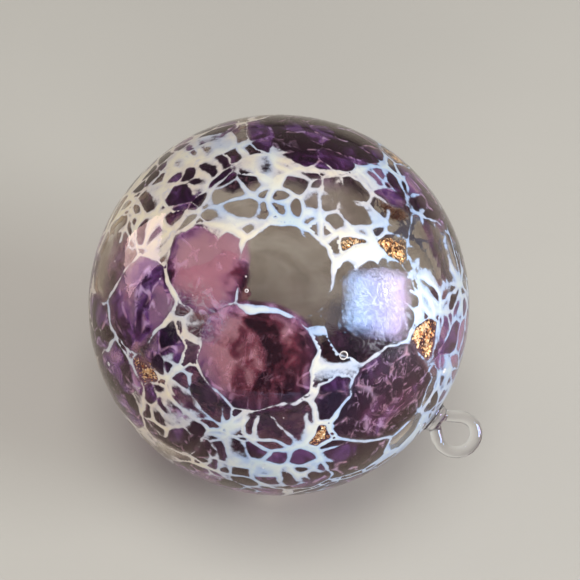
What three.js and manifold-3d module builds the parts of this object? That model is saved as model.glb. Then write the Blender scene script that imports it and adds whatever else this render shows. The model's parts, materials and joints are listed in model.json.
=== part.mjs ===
// A hand-blown glass ball ornament, lying on its side. The wall is built the way the glass is gathered:
// an inner bubble of clear glass, a layer of colour rolled onto it (an opaque white net with amethyst and
// gold aventurine chips in its cells) and an outer casing of clear glass. A clear pad closes the neck hole,
// and a loop of clear glass rod trailed onto the pad hangs the ball.
//
// Millimetres, +Z up. The ball rests on z = 0 and the middle of its bounding box is over the origin.
import * as THREE from "three";
import { ConvexGeometry } from "three/addons/geometries/ConvexGeometry.js";
import { mergeVertices } from "three/addons/utils/BufferGeometryUtils.js";
import Module from "manifold-3d";

const wasm = await Module();
wasm.setup();

// ---- Driving dimensions ----
const BALL_RADIUS = 55;
const CASING_THICKNESS = 1.1;
const COLOUR_THICKNESS = 0.7;
const BUBBLE_THICKNESS = 1.4;
const LAYER_GAP = 0.3; // clearance between neighbouring layers and pieces
const AXIS_DROP = 22; // degrees the neck points below the horizontal, towards +X

const NECK_ANGLE = 6; // degrees from the neck axis to the edge of the neck hole
const PAD_RADIUS = 5.2;
const PAD_TOP = 55.4; // measured from the ball's centre, along the neck axis
const PAD_BOTTOM = 51.6;

const ROD_RADIUS = 1.85; // the hanging loop's glass rod
// The foot where both ends of the rod melt onto the pad, as (radius, height above the pad).
const ROOT_PROFILE = [
  [4.6, 0],
  [3.95, 0.9],
  [2.85, 2.5],
];
const LOOP_TURN = -55; // degrees about the neck axis
// The middle of the rod, as (across, distance from the ball's centre): it leaves the root slantwise, runs
// round the eye and comes back to the root more steeply.
const LOOP_LINE = [
  [-1.8, 56.7],
  [-3.0, 59.2],
  [-4.9, 62.4],
  [-5.2, 65.2],
  [-3.6, 68.0],
  [-0.2, 69.1],
  [3.2, 68.0],
  [5.3, 65.2],
  [5.5, 61.9],
  [4.0, 59.3],
  [2.0, 57.3],
];

const WEB_HALF_WIDTH = 1.2; // half the white line between two neighbouring cells
const CELL_SIDES = 8; // of a cell that no neighbour cuts

const AROUND = 28; // facets around each shell
const RINGS_TO_TOP = 6; // facets from a shell's far pole to the highest point of the tilted ball

const CASING_INNER = BALL_RADIUS - CASING_THICKNESS;
const COLOUR_OUTER = CASING_INNER - LAYER_GAP;
const COLOUR_INNER = COLOUR_OUTER - COLOUR_THICKNESS;
const BUBBLE_OUTER = COLOUR_INNER - LAYER_GAP;
const BUBBLE_INNER = BUBBLE_OUTER - BUBBLE_THICKNESS;

// ---- Materials ----
const glass = (color, opacity, roughness = 0.05) =>
  new THREE.MeshStandardMaterial({ color, roughness, opacity, transparent: opacity < 1 });

// ---- Cells of the colour layer: glass, longitude, latitude and reach from the middle, in degrees ----
const CELLS = [
  ["amethyst", 90, 65, 22],
  ["amethyst", 33, 60, 10],
  ["amethyst", 41, 40, 13],
  ["amethyst", 7, 13, 15],
  ["amethyst", -3, 0, 10],
  ["amethyst", -28, 13, 17],
  ["amethyst", -42, 20, 9],
  ["amethyst", -39, -4, 13],
  ["amethyst", -57, -8, 14],
  ["amethyst", -75, -2, 13],
  ["amethyst", -95, 5, 14],
  ["amethyst", -115, 3, 16],
  ["amethyst", -130, 12, 13],
  ["amethyst", -118, 33, 15],
  ["amethyst", -102, 28, 9],
  ["amethyst", 180, 43, 13],
  ["amethyst", 160, 52, 13],
  ["amethyst", -152, 66, 11],
  ["amethyst", -68, 34, 17],
  ["amethyst", -97, 55, 14],
  ["amethyst", 127, -70, 16],
  ["amethyst", 148, -38, 12],
  ["clear", -60, 58, 15],
  ["clear", -142, 32, 14],
  ["clear", -24, 42, 16],
  ["clear", 15, 36, 14],
  ["clear", -60, 13, 11],
  ["clear", -108, 75, 11],
  ["clear", 5, 67, 12],
  ["clear", 16, 54, 8],
  ["clear", -26, 79, 10],
  ["clear", -85, 18, 11],
  ["clear", 110, 35, 15],
  ["clear", 60, -20, 16],
  ["clear", 116, -35, 18],
  ["clear", 150, -15, 16],
  ["aventurine", -48, 8, 6],
  ["aventurine", -104, 18, 6],
  ["aventurine", 2, 51, 6],
  ["aventurine", -9, 24, 6],
  ["aventurine", -16, 59, 6],
  ["aventurine", 63, 44, 6],
  ["aventurine", 75, 5, 7],
  ["aventurine", -170, -10, 7],
];
// Amethyst chips fill the stretches between those cells.
const FILL_CANDIDATES = 300; // places tried, evenly spread over the ball
const FILL_SPACING = 10; // degrees left free around a filling chip's middle
const FILL_REACH = 19;

const degrees = THREE.MathUtils.degToRad;
const tilt = new THREE.Quaternion().setFromAxisAngle(
  new THREE.Vector3(0, 1, 0),
  degrees(90 + AXIS_DROP),
);
const untilt = tilt.clone().invert();

// A closed geometry as a manifold-3d solid.
function toSolid(geometry) {
  const bare = geometry.clone();
  bare.deleteAttribute("normal");
  bare.deleteAttribute("uv");
  const merged = mergeVertices(bare);
  return new wasm.Manifold(
    new wasm.Mesh({
      numProp: 3,
      vertProperties: merged.attributes.position.array,
      triVerts: new Uint32Array(merged.index.array),
    }),
  );
}

// A manifold-3d solid as a geometry.
function toGeometry(solid) {
  const { vertProperties, triVerts } = solid.getMesh();
  const geometry = new THREE.BufferGeometry();
  geometry.setAttribute("position", new THREE.BufferAttribute(vertProperties, 3));
  geometry.setIndex(new THREE.BufferAttribute(triVerts, 1));
  return geometry.toNonIndexed();
}

// A profile of (radius, height) points turned about +Z.
const turned = (profile) => new THREE.LatheGeometry(profile, AROUND).rotateX(Math.PI / 2);

// A spherical shell, open at the neck. All shells share the same facets, so their gaps stay even. One ring
// of corners passes through the highest point of the tilted ball, so the ball is as tall as it should be.
function shell(outer, inner) {
  const facet = (90 - AXIS_DROP) / RINGS_TO_TOP;
  const rings = Math.ceil((180 - NECK_ANGLE) / facet);
  const arc = (radius) =>
    Array.from({ length: rings + 1 }, (_, ring) => {
      const fromPole = degrees(Math.min(ring * facet, 180 - NECK_ANGLE));
      const across = ring === 0 ? 0 : radius * Math.sin(fromPole);
      return new THREE.Vector2(across, -radius * Math.cos(fromPole));
    });
  return turned([...arc(outer), ...arc(inner).reverse()]);
}

// ---- Layout of the cells ----
// Directions are kept in the tilted frame of the neck axis, as the shells are.
function direction(longitude, latitude) {
  const polar = degrees(90 - latitude);
  const around = degrees(longitude);
  return new THREE.Vector3(
    Math.sin(polar) * Math.cos(around),
    Math.sin(polar) * Math.sin(around),
    Math.cos(polar),
  ).applyQuaternion(untilt);
}

// The neck hole is a cell of its own, so no other cell reaches into it.
const NECK = { kind: "neck", at: new THREE.Vector3(0, 0, 1), reach: NECK_ANGLE + 2 };

function layOutCells() {
  const placed = CELLS.map(([kind, longitude, latitude, reach]) => ({
    kind,
    at: direction(longitude, latitude),
    reach,
  }));
  placed.push(NECK);
  const goldenAngle = Math.PI * (3 - Math.sqrt(5));
  for (let i = 0; i < FILL_CANDIDATES; i++) {
    const height = 1 - (2 * i + 1) / FILL_CANDIDATES;
    const across = Math.sqrt(1 - height * height);
    const around = i * goldenAngle;
    const at = new THREE.Vector3(across * Math.cos(around), across * Math.sin(around), height);
    const free = Math.min(
      ...placed.map((cell) => THREE.MathUtils.radToDeg(at.angleTo(cell.at)) - cell.reach),
    );
    if (free > FILL_SPACING) placed.push({ kind: "amethyst", at, reach: FILL_REACH });
  }
  return placed;
}

// The part of a polygon on the side of a line where normal · point >= offset.
function clipped(polygon, normal, offset) {
  const kept = [];
  polygon.forEach((point, i) => {
    const next = polygon[(i + 1) % polygon.length];
    const here = point.dot(normal) - offset;
    const there = next.dot(normal) - offset;
    if (here >= 0) kept.push(point);
    if (here * there < 0) kept.push(point.clone().lerp(next, here / (here - there)));
  });
  return kept;
}

// The pyramid, from the ball's centre outwards, that a cell takes up. It stops `margin` short of the
// planes that part the cell from its neighbours, and of its own reach.
function cellPyramid(cell, cells, margin) {
  const side = new THREE.Vector3(0, 0, 1).cross(cell.at).normalize();
  const up = cell.at.clone().cross(side);
  const across = Math.tan(degrees(cell.reach)) - margin / COLOUR_OUTER;
  let outline = Array.from({ length: CELL_SIDES }, (_, i) => {
    const around = (2 * Math.PI * i) / CELL_SIDES;
    return cell.at
      .clone()
      .addScaledVector(side, across * Math.cos(around))
      .addScaledVector(up, across * Math.sin(around));
  });
  for (const other of cells) {
    if (other === cell) continue;
    const normal = cell.at
      .clone()
      .divideScalar(Math.cos(degrees(cell.reach)))
      .addScaledVector(other.at, -1 / Math.cos(degrees(other.reach)))
      .normalize();
    outline = clipped(outline, normal, margin / COLOUR_OUTER);
  }
  const apex = new THREE.Vector3();
  const base = outline.map((point) => point.clone().multiplyScalar(BALL_RADIUS));
  return toSolid(new ConvexGeometry([apex, ...base]));
}

// ---- Pieces ----
const ball = new THREE.Group();
ball.quaternion.copy(tilt);

function addPiece(name, geometry, material, parent = ball) {
  const mesh = new THREE.Mesh(geometry, material);
  mesh.name = name;
  parent.add(mesh);
}

function addColourLayer() {
  const layer = toSolid(shell(COLOUR_OUTER, COLOUR_INNER));
  const cells = layOutCells();
  const finish = {
    amethyst: { color: 0x4a2350, opacity: 0.75 },
    aventurine: { color: 0xb9824a, opacity: 1 },
  };
  const count = {};
  let web = layer;
  for (const cell of cells.filter(({ kind }) => kind !== "neck")) {
    web = web.subtract(cellPyramid(cell, cells, WEB_HALF_WIDTH));
    if (!finish[cell.kind]) continue;
    const chip = layer.intersect(cellPyramid(cell, cells, WEB_HALF_WIDTH + LAYER_GAP));
    count[cell.kind] = (count[cell.kind] ?? 0) + 1;
    const number = String(count[cell.kind]).padStart(2, "0");
    const { color, opacity } = finish[cell.kind];
    addPiece(`${cell.kind}_chip_${number}`, toGeometry(chip), glass(color, opacity));
  }
  addPiece("white_web", toGeometry(web), glass(0xd9d6d2, 1, 0.2));
}

// A solid of revolution about the neck axis, from (radius, distance from the ball's centre) points.
const turnedFrom = (profile) => turned(profile.map(([across, along]) => new THREE.Vector2(across, along)));

// The pad fills the neck hole and stands a little proud of the casing.
function neckSeal() {
  const edge = 0.4;
  return turnedFrom([
    [0, PAD_BOTTOM],
    [PAD_RADIUS - edge, PAD_BOTTOM],
    [PAD_RADIUS - edge, BUBBLE_OUTER],
    [PAD_RADIUS, CASING_INNER - edge],
    [PAD_RADIUS, PAD_TOP - edge],
    [PAD_RADIUS - edge, PAD_TOP],
    [0, PAD_TOP],
  ]);
}

// The loop is one length of rod. Both of its ends melt into a short root on the pad.
function hangLoop() {
  const outline = ROOT_PROFILE.map(([across, height]) => [across, PAD_TOP + LAYER_GAP + height]);
  const root = turnedFrom([[0, outline[0][1]], ...outline, [0, outline.at(-1)[1]]]);
  const middle = LOOP_LINE.map(([across, along]) => new THREE.Vector3(across, 0, along));
  const section = new THREE.Shape().absarc(0, 0, ROD_RADIUS, 0, 2 * Math.PI);
  const rod = new THREE.ExtrudeGeometry(section, {
    steps: 26,
    curveSegments: 5,
    extrudePath: new THREE.CatmullRomCurve3(middle),
  });
  return toGeometry(toSolid(root).add(toSolid(rod))).rotateZ(degrees(LOOP_TURN));
}

const clear = glass(0xeae4e0, 0.3);
addPiece("outer_casing", shell(BALL_RADIUS, CASING_INNER), clear.clone());
addPiece("inner_bubble", shell(BUBBLE_OUTER, BUBBLE_INNER), clear.clone());
addColourLayer();
addPiece("neck_seal", neckSeal(), clear.clone());
addPiece("hang_loop", hangLoop(), clear.clone());

// ---- Standing place ----
const ornament = new THREE.Group();
ornament.add(ball);
const box = new THREE.Box3().setFromObject(ornament, true);
const middle = box.getCenter(new THREE.Vector3());
ball.position.set(-middle.x, -middle.y, -box.min.z);

export default ornament;
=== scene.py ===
"""Looks of the blown glass ball ornament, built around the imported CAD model.

The ball's wall is one piece of glass in life: light enters at the casing's outer face, goes straight
through the faces where the layers are fused, and leaves at the bubble's inner face. So the outermost and
innermost faces refract, the fused faces only tint, and the colour lies between them as thin melted plates.
"""
import json
import math

import bmesh
import bpy
import numpy as np
from mathutils import Matrix, Quaternion, Vector, noise
from mathutils.bvhtree import BVHTree


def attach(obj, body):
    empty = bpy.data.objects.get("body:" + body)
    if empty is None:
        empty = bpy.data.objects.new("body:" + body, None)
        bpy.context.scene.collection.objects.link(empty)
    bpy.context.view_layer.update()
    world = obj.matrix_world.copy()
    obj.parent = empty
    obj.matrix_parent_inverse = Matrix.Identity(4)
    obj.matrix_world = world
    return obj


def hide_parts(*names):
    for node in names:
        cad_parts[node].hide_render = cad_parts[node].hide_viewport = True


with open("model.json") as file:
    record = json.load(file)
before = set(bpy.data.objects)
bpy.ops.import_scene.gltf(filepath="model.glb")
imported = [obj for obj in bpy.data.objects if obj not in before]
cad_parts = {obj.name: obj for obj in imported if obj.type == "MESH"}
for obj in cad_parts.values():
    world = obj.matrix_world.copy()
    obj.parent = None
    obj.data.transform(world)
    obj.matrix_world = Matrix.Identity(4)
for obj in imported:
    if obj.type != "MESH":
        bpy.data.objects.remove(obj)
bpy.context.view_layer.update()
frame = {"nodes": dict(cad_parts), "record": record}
MM = 0.001

# ---- Camera: the photograph's viewing angle ----
VIEW_AZIMUTH = 29.0
VIEW_ELEVATION = 49.0
VIEW_DISTANCE = 0.40
BALL_IN_FRAME = 0.659  # the ball's radius as a share of half the picture's width
BALL_RIGHT = -0.019  # where the ball's middle is, as a share of the picture's width
BALL_UP = -0.026

# ---- Finish ----
WAVE_HEIGHT = 0.10 * MM  # unevenness of the blown surface
WAVE_LENGTH = 24 * MM
SHELL_RINGS = 150
SHELL_AROUND = 300
FINENESS = 8  # how often the colour layer's triangles are halved
# (size, push) of the swirls in the outlines of the cells and of the small cells
WARP_SIZES = ((11 * MM, 2.2 * MM), (4.0 * MM, 0.9 * MM))
GRAIN_WARP_SIZES = ((17 * MM, 5.0 * MM), (5 * MM, 1.1 * MM))
GRAIN_SPACING = 6.0 * MM  # between the frit grains that the small cells grew from
GRAIN_VARIETY = 2.4 * MM  # how much further the biggest grain spreads than the smallest
WEB_HALF_WIDTH = 1.2 * MM  # half a line of the CAD net
CHIP_FADE = 3.2 * MM  # how far outside its CAD outline a purple chip fades out
GOLD_FADE = 2.8 * MM
FLAKE_SIZE = 0.42 * MM
GLASS_IOR = 1.5
AMETHYST_SHADES = 5
MELT_GRAIN = 0.3 * MM  # fineness of the melted pad and loop
FLOOR_REACH = 4.0
# Air seeds as (longitude, latitude, radius), and how many smaller ones are scattered
SEEDS = (
    (-40, 33, 1.15 * MM),
    (-17, 44, 0.7 * MM),
    (-5, 8, 0.8 * MM),
    (-75, 52, 0.5 * MM),
    (-120, 8, 0.6 * MM),
)
SMALL_SEEDS = 60
SEED_DEPTH = 0.36 * MM  # half a big seed's thickness


# ---- Facts from the frame ----
def points_of(node):
    """A CAD node's vertices as an array, in metres."""
    mesh = frame["nodes"][node].data
    out = np.empty(len(mesh.vertices) * 3)
    mesh.vertices.foreach_get("co", out)
    return out.reshape(-1, 3)


def sphere_centre(points):
    """The middle of the sphere that fits the points best."""
    system = np.c_[2 * points, np.ones(len(points))]
    return np.linalg.lstsq(system, (points**2).sum(1), rcond=None)[0][:3]


def distances(node):
    """The nearest and furthest distance of a node's vertices from the ball's middle."""
    away = np.linalg.norm(points_of(node) - CENTRE, axis=1)
    return away.min(), away.max()


CENTRE = sphere_centre(points_of("inner_bubble"))
CASING_IN, CASING_OUT = distances("outer_casing")
BUBBLE_IN, BUBBLE_OUT = distances("inner_bubble")
EYE = next(m for m in frame["record"]["mounts"] if m["name"] == "hanging_eye")
AXIS = np.array(EYE["axis"]) / np.linalg.norm(EYE["axis"])
NECK_ANGLE = math.acos(((points_of("outer_casing") - CENTRE) @ AXIS).max() / CASING_OUT)
COLOUR_MIDDLE = (CASING_IN + BUBBLE_OUT) / 2
CHIPS = sorted(name for name in frame["nodes"] if "_chip_" in name)


def add_camera():
    camera = bpy.data.objects.new("camera", bpy.data.cameras.new("camera"))
    bpy.context.scene.collection.objects.link(camera)
    a, e = math.radians(VIEW_AZIMUTH), math.radians(VIEW_ELEVATION)
    back = Vector((math.sin(a) * math.cos(e), -math.cos(a) * math.cos(e), math.sin(e)))
    camera.location = Vector(CENTRE) + back * VIEW_DISTANCE
    camera.rotation_mode = "QUATERNION"
    camera.rotation_quaternion = (-back).to_track_quat("-Z", "Y")
    limb = math.asin(CASING_OUT / VIEW_DISTANCE)
    camera.data.sensor_width = 36
    camera.data.lens = 18 / (math.tan(limb) / BALL_IN_FRAME)
    camera.data.shift_x = -BALL_RIGHT
    camera.data.shift_y = -BALL_UP
    camera.data.clip_start = 0.01
    camera.data.clip_end = 20
    bpy.context.scene.camera = camera


add_camera()


# ---- Materials ----
class Recipe:
    """A node material in the making."""

    def __init__(self, name):
        self.material = bpy.data.materials.new(name)
        self.material.use_nodes = True
        self.tree = self.material.node_tree
        self.tree.nodes.clear()

    def node(self, kind, inputs=None, **settings):
        made = self.tree.nodes.new(kind)
        for key, value in settings.items():
            setattr(made, key, value)
        for key, value in (inputs or {}).items():
            if isinstance(value, bpy.types.NodeSocket):
                self.tree.links.new(value, made.inputs[key])
            else:
                made.inputs[key].default_value = value
        return made

    def math(self, operation, a, b=0.0, c=0.0):
        return self.node("ShaderNodeMath", {0: a, 1: b, 2: c}, operation=operation).outputs[0]

    def field(self, name):
        return self.node("ShaderNodeAttribute", attribute_name=name).outputs["Fac"]

    def step(self, value, low, high):
        """0 below low, 1 above high, smooth between."""
        ranged = self.node(
            "ShaderNodeMapRange",
            {"Value": value, "From Min": low, "From Max": high},
            interpolation_type="SMOOTHSTEP",
        )
        return ranged.outputs["Result"]

    def place(self, stretch=(1, 1, 1)):
        texture = self.node("ShaderNodeTexCoord").outputs["Object"]
        return self.node("ShaderNodeMapping", {"Vector": texture, "Scale": stretch}).outputs["Vector"]

    def noise(self, size, detail=3.0, distortion=0.0, stretch=(1, 1, 1), roughness=0.5):
        """Noise from 0 to 1 with features of the given size in metres."""
        made = self.node(
            "ShaderNodeTexNoise",
            {
                "Vector": self.place(stretch),
                "Scale": 1 / size,
                "Detail": detail,
                "Distortion": distortion,
                "Roughness": roughness,
            },
        )
        return made.outputs["Fac"]

    def ramp(self, value, *stops):
        """Colours along a value: (position, (r, g, b)), linear."""
        made = self.node("ShaderNodeValToRGB", {"Fac": value})
        band = made.color_ramp
        band.elements[0].position, band.elements[1].position = stops[0][0], stops[-1][0]
        band.elements[0].color = (*stops[0][1], 1)
        band.elements[1].color = (*stops[-1][1], 1)
        for position, colour in stops[1:-1]:
            band.elements.new(position).color = (*colour, 1)
        return made.outputs["Color"]

    def blend(self, share, a, b):
        made = self.node("ShaderNodeMix", {0: share}, data_type="RGBA")
        for socket, value in ((made.inputs[6], a), (made.inputs[7], b)):
            if isinstance(value, bpy.types.NodeSocket):
                self.tree.links.new(value, socket)
            else:
                socket.default_value = (*value, 1)
        return made.outputs[2]

    def mix(self, share, a, b):
        return self.node("ShaderNodeMixShader", {0: share, 1: a, 2: b}).outputs[0]

    def principled(self, **inputs):
        named = {key.replace("_", " "): value for key, value in inputs.items()}
        return self.node("ShaderNodeBsdfPrincipled", named).outputs[0]

    def clear(self, colour):
        return self.node("ShaderNodeBsdfTransparent", {"Color": colour}).outputs[0]

    def thicker_at_edges(self):
        """How much more glass is looked through where the layer is seen edge on: 0 face on, 0.85 edge on."""
        facing = self.node("ShaderNodeLayerWeight", {"Blend": 0.5}).outputs["Facing"]
        return self.math("MULTIPLY", self.step(facing, 0.35, 1.0), 0.85)

    def hairs(self, size, thinness, stretch=(1, 1, 1)):
        """Fine wandering lines: 1 in the middle of each, 0 between them."""
        wander = self.noise(size, detail=5, distortion=2.5, stretch=stretch)
        off_line = self.math("ABSOLUTE", self.math("SUBTRACT", wander, 0.5))
        return self.step(self.math("MULTIPLY_ADD", off_line, -thinness, 1.0), 0.0, 1.0)

    def let_lamps_in(self, share, surface, colour):
        """Let a share of the lamps' light straight through a surface."""
        shadow = self.node("ShaderNodeLightPath").outputs["Is Shadow Ray"]
        return self.mix(self.math("MULTIPLY", shadow, share), surface, self.clear(colour))

    def finish(self, surface):
        output = self.node("ShaderNodeOutputMaterial")
        self.tree.links.new(surface, output.inputs["Surface"])
        return self.material


def clear_glass():
    """Fire-polished clear glass with a faint lustre, finely wrinkled where it was chilled. Light from lamps
    passes straight through it."""
    r = Recipe("clear_glass")
    cords = r.noise(6 * MM, detail=2, distortion=1.5, stretch=(1, 1, 2.5))
    chill = r.math("MULTIPLY", r.field("chill"), r.hairs(4 * MM, 8, stretch=(1.0, 1.6, 0.6)))
    height = r.math("ADD", cords, r.math("MULTIPLY", chill, 1.2))
    bump = r.node("ShaderNodeBump", {"Height": height, "Strength": 0.05, "Distance": 0.4 * MM})
    glass = r.principled(
        Base_Color=r.ramp(cords, (0.3, (0.97, 0.965, 0.96)), (0.7, (1, 1, 1))),
        Roughness=0.015,
        IOR=GLASS_IOR,
        Transmission_Weight=1.0,
        Thin_Film_Thickness=330.0,
        Thin_Film_IOR=1.4,
        Normal=bump.outputs["Normal"],
    )
    path = r.node("ShaderNodeLightPath")
    straight = r.math("MAXIMUM", path.outputs["Is Shadow Ray"], path.outputs["Is Diffuse Ray"])
    return r.finish(r.mix(straight, glass, r.clear((1, 1, 1, 1))))


def fused_face(name, dark, light):
    """Where two layers of glass are fused: a smoky tint that darkens edge on. Where faint, it is the glass's
    own tint; where darker, as on the bubble, it is also painted shade standing in for a dark backdrop seen
    through the ball.
    """
    r = Recipe(name)
    smoke = r.noise(22 * MM, detail=4, distortion=1.0, stretch=(1, 1, 1.8))
    tint = r.ramp(smoke, (0.36, dark), (0.64, light))
    edge_on = tuple(0.6 * share for share in dark)
    return r.finish(r.clear(r.blend(r.thicker_at_edges(), tint, edge_on)))


def white_lines():
    """Opaque white glass, thinning to a bluish haze at its edges. It is painted creamy on one side of the
    ball and bluish on the other, as painted warm and cool light. Part of the lamps' light comes through it,
    so the inside of the ball is bright."""
    r = Recipe("white_lines")
    ragged = r.noise(1.0 * MM, detail=3)
    inside = r.math("ADD", r.field("depth"), r.math("MULTIPLY", r.math("SUBTRACT", ragged, 0.5), 0.35))
    solid = r.step(inside, -0.08, 0.24)
    wisps = r.math("MULTIPLY", r.field("wisp"), r.math("MULTIPLY_ADD", r.hairs(5 * MM, 22), 0.8, 0.04))
    solid = r.math("MAXIMUM", solid, wisps)
    # Painted light: the white turns bluish towards +X and creamy towards -X, painted cool and warm lamp
    # light; the noise adds tone that differs at random.
    across = r.node("ShaderNodeSeparateXYZ", {0: r.place()}).outputs["X"]
    side = r.math("MULTIPLY_ADD", across, 3.5, 0.19)
    tone_and_painted_light = r.math("MULTIPLY_ADD", r.noise(22 * MM, detail=2, distortion=0.5), 0.7, side)
    body = r.ramp(tone_and_painted_light, (0.42, (0.74, 0.68, 0.54)), (0.54, (0.68, 0.69, 0.66)), (0.68, (0.56, 0.65, 0.70)))
    thin = r.ramp(tone_and_painted_light, (0.42, (0.60, 0.54, 0.52)), (0.66, (0.36, 0.48, 0.70)))
    streaks = r.noise(2.2 * MM, detail=4, distortion=1.2)
    colour = r.blend(r.step(inside, 0.05, 0.70), thin, body)
    colour = r.blend(r.step(streaks, 0.58, 0.80), colour, (0.50, 0.50, 0.60))
    paint = r.principled(Base_Color=colour, Roughness=0.35)
    glow = r.node("ShaderNodeBsdfTranslucent", {"Color": colour}).outputs[0]
    surface = r.mix(solid, r.clear((1, 1, 1, 1)), r.mix(0.4, paint, glow))
    return r.finish(r.let_lamps_in(0.6, surface, (1, 1, 1, 1)))


def amethyst(index):
    """Streaky transparent purple glass. Chips differ from near-black plum to violet, and are wine red in
    some places. Lilac and pink veins run between the grains, and fine strokes across them."""
    r = Recipe(f"amethyst_{index:02d}")
    cover = r.field("cover")
    own_tone = 0.05 * (index - 2) - 0.14
    swirl = r.noise(9 * MM, detail=3.5, distortion=2.2, stretch=(1, 1.3, 0.7))
    tone = r.math("ADD", r.math("MULTIPLY", r.field("grain"), 0.45), r.math("MULTIPLY", swirl, 0.75))
    tone = r.math("ADD", tone, own_tone)
    patchy = r.noise(5 * MM, detail=4, distortion=1.5)
    wine = r.field("wine")
    between = r.math("SUBTRACT", 1.0, r.step(r.field("gap"), 0.05, 1.1))
    between = r.math("MULTIPLY", between, r.math("MULTIPLY_ADD", wine, -0.8, 1.0))
    vein = r.math("MULTIPLY", between, r.step(patchy, 0.42, 0.62))
    strokes = r.math("MULTIPLY", r.hairs(6 * MM, 14, stretch=(2.2, 0.8, 0.9)), r.step(patchy, 0.46, 0.58))
    light = r.math("MAXIMUM", vein, r.math("MULTIPLY", strokes, r.field("streaked")))
    purple_tint = r.ramp(
        tone,
        (0.30, (0.08, 0.02, 0.07)),
        (0.43, (0.27, 0.11, 0.28)),
        (0.54, (0.52, 0.30, 0.68)),
        (0.68, (0.88, 0.72, 0.86)),
    )
    wine_tint = r.ramp(
        tone,
        (0.24, (0.28, 0.05, 0.06)),
        (0.40, (0.66, 0.27, 0.31)),
        (0.57, (0.98, 0.78, 0.84)),
    )
    purple_body = r.ramp(
        tone,
        (0.30, (0.045, 0.008, 0.045)),
        (0.43, (0.13, 0.03, 0.16)),
        (0.54, (0.34, 0.15, 0.48)),
        (0.68, (0.62, 0.40, 0.60)),
    )
    wine_body = r.ramp(
        tone,
        (0.24, (0.09, 0.01, 0.02)),
        (0.40, (0.38, 0.10, 0.16)),
        (0.57, (0.88, 0.50, 0.58)),
    )
    face_on = r.blend(wine, purple_tint, wine_tint)
    tint = r.blend(r.thicker_at_edges(), face_on, (0.05, 0.012, 0.04))
    body = r.blend(wine, purple_body, wine_body)
    pale = r.ramp(swirl, (0.45, (0.62, 0.36, 0.50)), (0.60, (0.66, 0.50, 0.74)))
    body = r.blend(light, body, pale)
    clear = r.clear(r.blend(cover, (1, 1, 1), tint))
    paint = r.principled(Base_Color=body, Roughness=0.4)
    glow = r.node("ShaderNodeBsdfTranslucent", {"Color": body}).outputs[0]
    haze = r.math("MULTIPLY", cover, r.math("MULTIPLY_ADD", light, 0.55, 0.22))
    surface = r.mix(haze, clear, r.mix(0.5, paint, glow))
    return r.finish(r.let_lamps_in(0.5, surface, (0.85, 0.70, 0.80, 1)))


def aventurine():
    """Gold flakes in clusters in smoky glass, each tipped its own way."""
    r = Recipe("aventurine")
    cover = r.field("cover")
    flakes = r.node(
        "ShaderNodeTexVoronoi", {"Vector": r.place(), "Scale": 1 / FLAKE_SIZE, "Randomness": 1.0}
    )
    pick = r.node("ShaderNodeSeparateColor", {"Color": flakes.outputs["Color"]})
    clusters = r.math("MULTIPLY_ADD", r.step(r.noise(3.0 * MM, detail=3), 0.42, 0.58), 0.65, 0.12)
    chosen = r.math("LESS_THAN", pick.outputs[0], r.math("MULTIPLY", cover, clusters))
    normal = r.node("ShaderNodeNewGeometry").outputs["Normal"]
    tip = r.node(
        "ShaderNodeVectorMath", {0: flakes.outputs["Color"], 1: (0.5, 0.5, 0.5)}, operation="SUBTRACT"
    ).outputs[0]
    tip = r.node("ShaderNodeVectorMath", {0: tip, 3: 0.9}, operation="SCALE").outputs[0]
    tipped = r.node("ShaderNodeVectorMath", {0: normal, 1: tip}, operation="ADD").outputs[0]
    tipped = r.node("ShaderNodeVectorMath", {0: tipped}, operation="NORMALIZE").outputs[0]
    shade = r.ramp(
        pick.outputs[1],
        (0.0, (0.60, 0.27, 0.10)),
        (0.6, (0.84, 0.50, 0.22)),
        (1.0, (1.0, 0.84, 0.60)),
    )
    gold = r.principled(Base_Color=shade, Metallic=0.6, Roughness=0.38, Normal=tipped)
    smoky = r.clear(r.blend(cover, (1, 1, 1), (0.72, 0.54, 0.43)))
    return r.finish(r.mix(chosen, smoky, gold))


def air_inside():
    """An air bubble in the glass: its wall refracts from glass to air, and its steep rim is painted silvery
    white, a painted reflection of the light that its wall reflects inside the glass.
    """
    r = Recipe("air_seed")
    air = r.principled(Roughness=0.0, IOR=1 / GLASS_IOR, Transmission_Weight=1.0)
    facing = r.node("ShaderNodeLayerWeight", {"Blend": 0.5}).outputs["Facing"]
    # Painted reflection: the steep rim is painted silvery white in place of the light that the bubble's wall
    # reflects.
    painted_rim_reflection_colour = r.ramp(facing, (0, (0.75, 0.70, 0.72)), (1, (0.9, 0.88, 0.9)))
    painted_rim_reflection = r.principled(Base_Color=painted_rim_reflection_colour, Roughness=0.2)
    rim = r.math("MULTIPLY", r.step(facing, 0.06, 0.28), 0.85)
    return r.finish(r.let_lamps_in(1.0, r.mix(rim, air, painted_rim_reflection), (1, 1, 1, 1)))


def studio_floor():
    r = Recipe("studio_floor")
    tone = r.noise(180 * MM, detail=3)
    fine = r.noise(1.5 * MM, detail=2)
    colour = r.ramp(tone, (0.3, (0.322, 0.309, 0.282)), (0.7, (0.338, 0.324, 0.296)))
    bump = r.node("ShaderNodeBump", {"Height": fine, "Strength": 0.08, "Distance": 0.3 * MM})
    return r.finish(r.principled(Base_Color=colour, Roughness=0.75, Normal=bump.outputs["Normal"]))


GLASS = clear_glass()
FUSED = {
    "outer_casing": fused_face("fused_casing", (0.96, 0.95, 0.94), (0.99, 0.985, 0.98)),
    # Painted shade: the bubble's darker smoky tint stands in for a dark backdrop seen through the ball, over
    # a faint tint of the glass's own.
    "inner_bubble": fused_face("fused_bubble_smoke_and_painted_shade", (0.66, 0.60, 0.55), (0.90, 0.87, 0.83)),
}
WHITE = white_lines()
AMETHYST = [amethyst(index) for index in range(AMETHYST_SHADES)]
GOLD = aventurine()
AIR = air_inside()


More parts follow.
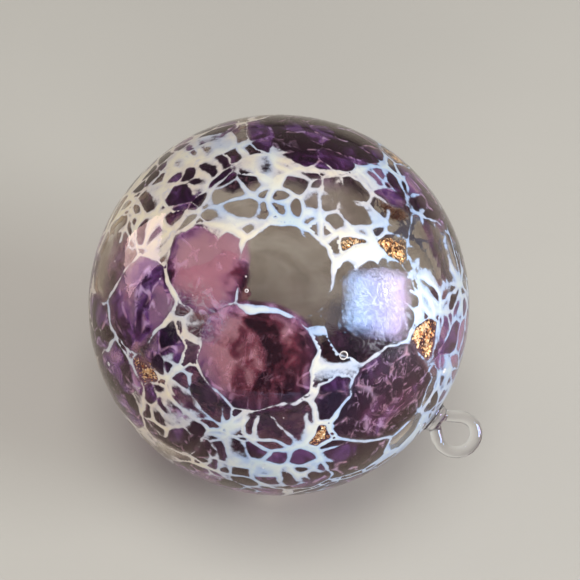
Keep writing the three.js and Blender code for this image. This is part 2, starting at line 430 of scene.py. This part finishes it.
# ---- Mesh helpers ----
def new_object(name, vertices, faces):
    mesh = bpy.data.meshes.new(name)
    mesh.from_pydata(vertices.tolist(), [], faces)
    mesh.validate()
    mesh.shade_smooth()
    piece = bpy.data.objects.new(name, mesh)
    bpy.context.scene.collection.objects.link(piece)
    return piece


def put_on(piece, slot, *nodes):
    """The piece rides with the ball and stands for CAD nodes. The slot is not used."""
    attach(piece, "root")
    if nodes:
        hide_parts(*nodes)


def smoothstep(low, high, value):
    x = np.clip((value - low) / (high - low), 0, 1)
    return x * x * (3 - 2 * x)


def noise_at(points, size, seed):
    """Smooth noise from about -1 to 1 at each point, with features of the given size."""
    shift = Vector((seed * 17.3, seed * 5.1, seed * 9.7))
    return np.array([noise.noise(Vector(p) / size + shift) for p in points])


def swirl_at(points, size, seed):
    return np.stack([noise_at(points, size, seed + axis) for axis in range(3)], 1)


def unit(vectors):
    return vectors / np.linalg.norm(vectors, axis=1, keepdims=True)


# ---- The clear shells ----
def turned_grid(rings, around, neck_angle):
    """Directions of a sphere turned about the neck axis, ring by ring from the far pole to the neck."""
    side = unit(np.cross(AXIS, [[0.0, 1.0, 0.0]]))[0]
    other = np.cross(AXIS, side)
    polar = np.linspace(math.pi, neck_angle, rings + 1)[1:]
    turn = np.linspace(0, 2 * math.pi, around, endpoint=False)
    across = np.outer(np.cos(turn), side) + np.outer(np.sin(turn), other)
    ring = np.cos(polar)[:, None, None] * AXIS + np.sin(polar)[:, None, None] * across[None]
    return np.vstack([-AXIS[None], ring.reshape(-1, 3)])


def grid_faces(rings, around, first, outwards):
    faces = []
    for k in range(around):
        nxt = (k + 1) % around
        faces.append([first, first + 1 + nxt, first + 1 + k])
    for ring in range(rings - 1):
        a = first + 1 + ring * around
        b = a + around
        for k in range(around):
            nxt = (k + 1) % around
            faces.append([a + k, a + nxt, b + nxt, b + k])
    return faces if outwards else [face[::-1] for face in faces]


def clear_shell(name, outer, inner, waves):
    """A closed shell of clear glass, open at the neck. Only its wavy face, towards the air, refracts."""
    rings, around = SHELL_RINGS, SHELL_AROUND
    directions = turned_grid(rings, around, NECK_ANGLE)
    wave = noise_at(directions * outer, WAVE_LENGTH, 3) * WAVE_HEIGHT
    outer_wave = wave if waves == "outside" else 0 * wave
    inner_wave = wave if waves == "inside" else 0 * wave
    outside = CENTRE + directions * (outer + outer_wave - WAVE_HEIGHT)[:, None]
    inside = CENTRE + directions * (inner + inner_wave)[:, None]
    count = len(directions)
    faces = grid_faces(rings, around, 0, True) + grid_faces(rings, around, count, False)
    rim_out = 1 + (rings - 1) * around
    rim_in = rim_out + count
    for k in range(around):
        nxt = (k + 1) % around
        faces.append([rim_out + k, rim_out + nxt, rim_in + nxt, rim_in + k])
    shell = new_object(name + ".glass", np.vstack([outside, inside]), faces)
    shell.data.materials.append(GLASS)
    shell.data.materials.append(FUSED[name])
    per_side = around * rings
    fused_first = per_side if waves == "outside" else 0
    slots = np.zeros(len(shell.data.polygons), int)
    slots[fused_first : fused_first + per_side] = 1
    shell.data.polygons.foreach_set("material_index", slots)
    chill = shell.data.attributes.new("chill", "FLOAT", "POINT")
    chill.data.foreach_set("value", np.tile(zone(directions, CHILL_ZONES), 2).astype(np.float32))
    put_on(shell, "clear_glass", name)


# ---- The colour layer: a net of white lines and the chips in its cells ----
def wall_tree(node):
    """The sides of a plate, without its outer and inner faces, as a search tree."""
    mesh = frame["nodes"][node].data
    points = [v.co for v in mesh.vertices]
    sides = [
        list(face.vertices)
        for face in mesh.polygons
        if abs(face.normal.dot((face.center - Vector(CENTRE)).normalized())) < 0.5
    ]
    return BVHTree.FromPolygons(points, sides)


def whole_tree(*names):
    """CAD nodes as one search tree, and the node that each of its faces belongs to."""
    points, faces, owners = [], [], []
    for index, name in enumerate(names):
        mesh = frame["nodes"][name].data
        first = len(points)
        points += [v.co for v in mesh.vertices]
        faces += [[first + v for v in face.vertices] for face in mesh.polygons]
        owners += [index] * len(mesh.polygons)
    return BVHTree.FromPolygons(points, faces), np.array(owners)


def colour_directions():
    """Evenly spread directions over the ball, and the triangles between them."""
    ball = bmesh.new()
    bmesh.ops.create_icosphere(ball, subdivisions=FINENESS, radius=1)
    points = np.array([v.co for v in ball.verts])
    triangles = np.array([[v.index for v in face.verts] for face in ball.faces])
    ball.free()
    return unit(points), triangles


def cell_fields(directions):
    """For each direction: how far it is inside a cell of the net (negative inside a line), how far it is
    inside the nearest chip, and which chip that is. All distances in metres, in the CAD layout warped by
    swirls, as melted glass flows."""
    warped = directions * COLOUR_MIDDLE
    for seed, (size, push) in enumerate(WARP_SIZES):
        warped = warped + swirl_at(directions * COLOUR_MIDDLE, size, 10 + 5 * seed) * push
    warped = unit(warped)
    walls = wall_tree("white_web")
    net, _ = whole_tree("white_web")
    chips, owner = whole_tree(*CHIPS)
    middle = Vector(CENTRE)
    in_cell = np.empty(len(warped))
    in_chip = np.empty(len(warped))
    nearest = np.empty(len(warped), int)
    for i, way in enumerate(warped):
        way = Vector(way)
        place = middle + way * COLOUR_MIDDLE
        edge = walls.find_nearest(place)[3]
        on_net = net.ray_cast(middle, way, CASING_OUT)[0] is not None
        in_cell[i] = -edge if on_net else edge
        face, away = chips.find_nearest(place)[2:]
        nearest[i] = owner[face]
        in_chip[i] = edge if away < 0.02 * MM or chips.ray_cast(middle, way, CASING_OUT)[0] else -away
    return in_cell, in_chip, nearest


def place_on_ball(longitude, latitude):
    a, e = math.radians(longitude), math.radians(latitude)
    return np.array([math.cos(a) * math.cos(e), math.sin(a) * math.cos(e), math.sin(e)])


def zone(directions, spots):
    """Each spot's share in its middle, falling to 0 at its reach. The strongest spot counts."""
    total = np.zeros(len(directions))
    for longitude, latitude, reach, share in spots:
        cosine = directions @ place_on_ball(longitude, latitude)
        away = np.degrees(np.arccos(np.clip(cosine, -1, 1)))
        total = np.maximum(total, share * (1 - smoothstep(0.45 * reach, reach, away)))
    return total


# Places on the ball, as (longitude, latitude, reach in degrees, share).
# Where the white lies thick:
WHITE_ZONES = (
    (-170, 40, 22, 0.6),
    (-174, 56, 18, 0.4),
    (-141, 47, 15, 0.8),
    (-162, 66, 14, 0.5),
    (-27, 67, 13, 0.9),
    (-22, 56, 10, 0.8),
    (-66, 46, 10, 1.0),
    (-80, 77, 18, 1.0),
    (-108, 67, 13, 0.9),
    (46, 58, 14, 0.8),
    (8, 30, 15, 0.35),
    (-6, 10, 14, 0.4),
    (-92, 20, 11, 1.0),
    (-70, 9, 14, 0.5),
    (-48, 8, 12, 0.4),
    (-60, -10, 22, 0.6),
    (95, 0, 40, 0.5),
    (-170, -35, 40, 0.6),
    (60, -50, 40, 0.5),
)
# Where the small cells crowd:
GRAIN_ZONES = (
    (-175, 50, 48, 1.0),
    (-120, 80, 38, 1.0),
    (20, 62, 35, 1.0),
    (10, 28, 36, 1.0),
    (-5, 8, 30, 1.0),
    (-65, 0, 34, 1.0),
    (-95, 12, 26, 0.9),
    (-60, -25, 40, 0.8),
    (-130, 5, 30, 0.7),
    (95, -10, 60, 0.7),
    (-170, -20, 50, 0.7),
    (60, -50, 50, 0.8),
)
# Where they stay away and the lines are thin:
CALM_ZONES = (
    (-60, 58, 15, 1.0),
    (-68, 34, 19, 1.0),
    (-97, 55, 13, 0.6),
    (-118, 30, 16, 0.9),
    (-138, 28, 11, 0.9),
    (-28, 40, 12, 0.9),
    (15, 38, 10, 0.7),
    (88, 64, 22, 1.0),
    (-28, 14, 16, 1.0),
    (120, -32, 30, 1.0),
    (125, -70, 24, 0.9),
)
# Where the purple turns to wine red:
WINE_ZONES = (
    (-68, 34, 20, 1.0),
    (-97, 55, 16, 0.7),
    (127, -68, 30, 1.0),
    (150, -36, 24, 1.0),
    (-28, 14, 15, 0.3),
)
# Where the chips are pale:
BLUSH_ZONES = (
    (-97, 55, 17, 1.0),
    (-80, 36, 10, 0.3),
    (148, -38, 16, 1.0),
    (-12, -72, 30, 0.4),
)
# Where fine white wisps float:
WISP_ZONES = (
    (-20, 40, 15, 0.45),
    (-93, 42, 12, 0.25),
    (40, 5, 25, 0.12),
    (170, -10, 25, 0.12),
)
# Where light strokes cross the purple:
STREAKED_ZONES = (
    (-28, 14, 20, 0.8),
    (-112, 2, 22, 0.5),
    (-70, 32, 14, 0.25),
    (40, -20, 50, 0.5),
    (170, 0, 50, 0.5),
)
# Where hardly a line parts the cells, as the front's windows look through there:
OPEN_ZONES = (
    (124, -36, 36, 1.0),
    (140, -10, 22, 1.0),
    (100, -14, 24, 0.8),
)
# Where the chips are thinned nearly to clear glass:
THIN_ZONES = (
    (95, -14, 27, 1.0),
    (118, -12, 20, 1.0),
)
# Where the chips are darker:
DEEP_ZONES = (
    (-68, 30, 20, 1.0),
    (127, -68, 30, 0.6),
    (-62, -4, 38, 1.0),
    (-118, 2, 26, 0.7),
    (-14, -12, 22, 0.8),
)
# Where the casing is finely wrinkled:
CHILL_ZONES = (
    (-20, 38, 24, 1.0),
    (-95, 38, 14, 0.5),
    (100, 20, 30, 0.6),
    (-150, -20, 30, 0.6),
)


def grain_fields(directions):
    """The small cells that single grains melted into: how much nearer the nearest grain is than the second
    and than the third, and a tone for each grain that runs softly into its neighbours'."""
    rng = np.random.default_rng(7)
    count = int(4 * math.pi * COLOUR_MIDDLE**2 / GRAIN_SPACING**2)
    grains = unit(rng.normal(size=(count, 3))) * COLOUR_MIDDLE
    spread = rng.random(count) * GRAIN_VARIETY
    tones = rng.random(count)
    points = directions * COLOUR_MIDDLE
    (broad_size, broad_push), (fine_size, fine_push) = GRAIN_WARP_SIZES
    broad_swirl = swirl_at(points, broad_size, 40) * broad_push
    points = points + broad_swirl + swirl_at(points, fine_size, 50) * fine_push
    second_gap = np.empty(len(points))
    third_gap = np.empty(len(points))
    tone = np.empty(len(points))
    block = 8192
    for first in range(0, len(points), block):
        some = points[first : first + block]
        squared = (some**2).sum(1)[:, None] + (grains**2).sum(1)[None] - 2 * some @ grains.T
        away = np.sqrt(np.maximum(squared, 0)) - spread
        closest = np.argpartition(away, 3, axis=1)[:, :3]
        near = np.take_along_axis(away, closest, axis=1)
        weight = np.exp((near.min(1, keepdims=True) - near) / (0.7 * MM))
        near = np.sort(near, axis=1)
        second_gap[first : first + block] = near[:, 1] - near[:, 0]
        third_gap[first : first + block] = near[:, 2] - near[:, 0]
        tone[first : first + block] = (weight * tones[closest]).sum(1) / weight.sum(1)
    return second_gap, third_gap, tone


def rounded(away, radius):
    """A distance from a line's middle, rounded off near the middle, so that a thin line fades evenly."""
    return np.sqrt(away**2 + radius**2) - radius


def smooth_max(a, b, width):
    blend = np.clip(0.5 + 0.5 * (a - b) / width, 0, 1)
    return b + (a - b) * blend + width * blend * (1 - blend)


def plate(name, directions, triangles, keep, middle, thickness, fields):
    """A closed thin plate over the kept triangles, with vertex fields for its material."""
    kept = triangles[keep]
    used, local = np.unique(kept, return_inverse=True)
    local = local.reshape(kept.shape)
    count = len(used)
    half = thickness[used][:, None] / 2
    ways = directions[used]
    outside = CENTRE + ways * (middle + half)
    inside = CENTRE + ways * (middle - half)
    edges = np.vstack([local[:, [0, 1]], local[:, [1, 2]], local[:, [2, 0]]])
    codes = edges[:, 0].astype(np.int64) * count + edges[:, 1]
    back = edges[:, 1].astype(np.int64) * count + edges[:, 0]
    rim = edges[~np.isin(codes, back)]
    sides = np.column_stack([rim[:, 1], rim[:, 0], rim[:, 0] + count, rim[:, 1] + count])
    faces = local.tolist() + (local[:, ::-1] + count).tolist() + sides.tolist()
    piece = new_object(name, np.vstack([outside, inside]), faces)
    for field, values in fields.items():
        layer = piece.data.attributes.new(field, "FLOAT", "POINT")
        layer.data.foreach_set("value", np.tile(values[used], 2).astype(np.float32))
    return piece


def add_colour_layer():
    directions, triangles = colour_directions()
    in_cell, in_chip, nearest = cell_fields(directions)
    second_gap, third_gap, grain = grain_fields(directions)
    places = directions * COLOUR_MIDDLE
    broad = noise_at(places, 11 * MM, 60)
    ragged = noise_at(places, 2.0 * MM, 61)
    white = zone(directions, WHITE_ZONES)
    crowd = zone(directions, GRAIN_ZONES) * (1 - zone(directions, CALM_ZONES))
    crowd = crowd * (1 - zone(directions, OPEN_ZONES))

    thinned = 0.25 * zone(directions, CALM_ZONES) + 0.8 * zone(directions, OPEN_ZONES)
    from_line = rounded(np.maximum(WEB_HALF_WIDTH + in_cell, 0), 0.3 * MM)
    coarse = (0.28 + 0.6 * broad + 0.5 * white + 0.25 * ragged - thinned) * MM - from_line
    coarse = np.where(in_cell < -1.3 * MM, np.minimum(coarse, 0.7 * MM - second_gap / 2), coarse)
    strand = (-1.38 + 1.55 * crowd + 0.7 * broad + 0.35 * white + 0.25 * ragged) * MM
    strand = strand - rounded(second_gap / 2, 0.25 * MM)
    star = (-1.8 + 1.8 * crowd + 0.9 * broad + 0.6 * white) * MM - third_gap / 2
    depth = smooth_max(smooth_max(coarse, strand, 0.6 * MM), star, 1.0 * MM)
    on_gold = np.array([name.startswith("aventurine") for name in CHIPS])[nearest]
    depth = depth - np.where(on_gold, smoothstep(-1.5 * MM, 1.0 * MM, in_chip), 0) * 2 * MM
    wisp = zone(directions, WISP_ZONES)

    past_neck = directions @ AXIS > math.cos(NECK_ANGLE + 0.01)
    web = (depth[triangles].max(1) > -0.35 * MM) | (wisp[triangles].max(1) > 0.02)
    web &= ~past_neck[triangles].any(1)
    room = CASING_IN - COLOUR_MIDDLE - 0.05 * MM
    net = plate(
        "white_web.glass", directions, triangles, web,
        COLOUR_MIDDLE + room * 0.4,
        (0.06 + 0.42 * smoothstep(0, 1.2, depth / MM)) * MM,
        {"depth": depth / MM, "wisp": wisp},
    )
    net.data.materials.append(WHITE)
    put_on(net, "white_glass", "white_web")

    patchy = 0.5 + 0.5 * noise_at(places, 6 * MM, 70)
    wine = zone(directions, WINE_ZONES)
    streaked = 0.05 + zone(directions, STREAKED_ZONES)
    grain = grain + 0.6 * zone(directions, BLUSH_ZONES) - 0.3 * zone(directions, DEEP_ZONES)
    tinted = 1 - 0.92 * zone(directions, THIN_ZONES)
    for index, name in enumerate(CHIPS):
        gold = name.startswith("aventurine")
        fade = GOLD_FADE if gold else CHIP_FADE
        region = (nearest[triangles[:, 0]] == index) & (in_chip[triangles].max(1) > -fade)
        region &= ~past_neck[triangles].any(1)
        if not region.any():
            continue
        spill = fade * (1.8 * wine - 0.6 * (1 - patchy) * (1 - wine))
        cover = smoothstep(-fade, 0.3 * MM, in_chip + spill) * tinted
        chip = plate(
            name + ".glass", directions, triangles, region,
            COLOUR_MIDDLE - room * 0.45,
            (0.05 + 0.35 * smoothstep(-1, 2, in_chip / MM)) * MM,
            {
                "cover": cover, "grain": grain, "gap": second_gap / MM,
                "wine": wine, "streaked": streaked,
            },
        )
        chip.data.materials.append(GOLD if gold else AMETHYST[index * 3 % AMETHYST_SHADES])
        put_on(chip, "aventurine_glass" if gold else "amethyst_glass", name)


# ---- Air seeds in the casing ----
def add_seeds():
    """Air bubbles of a few sizes, as one piece. The big ones are flat discs with round rims."""
    rng = np.random.default_rng(21)
    places = [(unit(place_on_ball(lon, lat)[None])[0], size) for lon, lat, size in SEEDS]
    for _ in range(SMALL_SEEDS):
        places.append((unit(rng.normal(size=(1, 3)))[0], rng.uniform(0.10, 0.25) * MM))
    bubble = bmesh.new()
    for way, size in places:
        if way @ AXIS > math.cos(2 * NECK_ANGLE):
            continue
        turn = Vector(way).to_track_quat("Z", "Y").to_matrix().to_4x4()
        place = Matrix.Translation(Vector(CENTRE + way * (CASING_IN + CASING_OUT) / 2))
        rim = min(size, SEED_DEPTH)
        for vertex in bmesh.ops.create_icosphere(bubble, subdivisions=4, radius=1)["verts"]:
            outwards = Vector((vertex.co.x, vertex.co.y, 0))
            spread = outwards.normalized() * (size - rim) if outwards.length > 0.05 else Vector()
            vertex.co = place @ turn @ (vertex.co * rim + spread)
    mesh = bpy.data.meshes.new("air_seeds")
    bubble.to_mesh(mesh)
    bubble.free()
    mesh.shade_smooth()
    seeds = bpy.data.objects.new("air_seeds", mesh)
    bpy.context.scene.collection.objects.link(seeds)
    mesh.materials.append(AIR)
    put_on(seeds, "clear_glass")


# ---- The pad and the hanging loop ----
def melted(node, slot, rounds):
    """The CAD solid with its facets melted smooth, in so many rounds of smoothing."""
    mesh = frame["nodes"][node].data.copy()
    piece = bpy.data.objects.new(node + ".glass", mesh)
    bpy.context.scene.collection.objects.link(piece)
    mesh.materials.clear()
    mesh.materials.append(GLASS)
    bpy.context.view_layer.objects.active = piece
    remesh = piece.modifiers.new("melt", "REMESH")
    remesh.mode = "VOXEL"
    remesh.voxel_size = MELT_GRAIN
    remesh.use_smooth_shade = True
    smooth = piece.modifiers.new("round", "SMOOTH")
    smooth.factor = 0.5
    smooth.iterations = rounds
    for modifier in ("melt", "round"):
        with bpy.context.temp_override(object=piece, active_object=piece, selected_objects=[piece]):
            bpy.ops.object.modifier_apply(modifier=modifier)
    put_on(piece, slot, node)


# ---- Studio ----
def add_floor():
    reach = FLOOR_REACH
    corners = np.array([[-reach, -reach, 0], [reach, -reach, 0], [reach, reach, 0], [-reach, reach, 0]])
    floor = new_object("floor", corners, [[0, 1, 2, 3]])
    floor.data.materials.append(studio_floor())


def add_softbox(name, place, size, power, colour, roll=0.0, mirrored=True, lights=True):
    """A rectangular lamp that faces the ball from a place (azimuth, elevation, distance). It isn't seen
    through the glass, and may be kept out of the reflections or shown in them alone."""
    lamp = bpy.data.lights.new(name, "AREA")
    lamp.shape = "RECTANGLE"
    lamp.size, lamp.size_y = size
    lamp.energy = power
    lamp.color = colour
    holder = bpy.data.objects.new(name, lamp)
    bpy.context.scene.collection.objects.link(holder)
    azimuth, elevation, distance = place
    way = Vector(place_on_ball(azimuth, elevation))
    holder.location = Vector(CENTRE) + way * distance
    holder.rotation_mode = "QUATERNION"
    facing = way.to_track_quat("Z", "Y")
    holder.rotation_quaternion = facing @ Quaternion((0, 0, 1), math.radians(roll))
    holder.visible_glossy = mirrored
    holder.visible_diffuse = lights
    holder.visible_transmission = False


def add_light():
    add_softbox("key_right", (8, 24, 1.3), (0.6, 0.8), 18, (0.97, 0.98, 1.0), mirrored=False)
    add_softbox("window_right", (8, 24, 1.2), (0.60, 0.82), 38, (0.97, 1.0, 0.98), roll=40, lights=False)
    add_softbox("fill_front", (-61, 8, 1.3), (0.6, 0.6), 13, (1.0, 0.99, 0.97), mirrored=False)
    add_softbox("fill_left", (190, 10, 1.3), (0.6, 0.6), 5, (1.0, 0.95, 0.86))
    add_softbox("top", (-70, 80, 1.6), (0.9, 0.9), 25, (1.0, 0.98, 0.96), mirrored=False)
    world = bpy.data.worlds.new("studio")
    world.use_nodes = True
    world.node_tree.nodes["Background"].inputs["Color"].default_value = (0.80, 0.80, 0.80, 1)
    world.node_tree.nodes["Background"].inputs["Strength"].default_value = 0.35
    bpy.context.scene.world = world


def set_light_paths():
    """Enough bounces for both walls of the ball, with the plates in them."""
    scene = bpy.context.scene
    scene.view_settings.view_transform = "Standard"
    scene.cycles.max_bounces = 24
    scene.cycles.transmission_bounces = 20
    scene.cycles.glossy_bounces = 8
    scene.cycles.transparent_max_bounces = 48
    scene.cycles.caustics_reflective = False
    scene.cycles.caustics_refractive = False


clear_shell("outer_casing", CASING_OUT, CASING_IN, "outside")
clear_shell("inner_bubble", BUBBLE_OUT, BUBBLE_IN, "inside")
add_colour_layer()
add_seeds()
melted("neck_seal", "clear_glass", 6)
melted("hang_loop", "clear_glass", 8)
add_floor()
add_light()
set_light_paths()
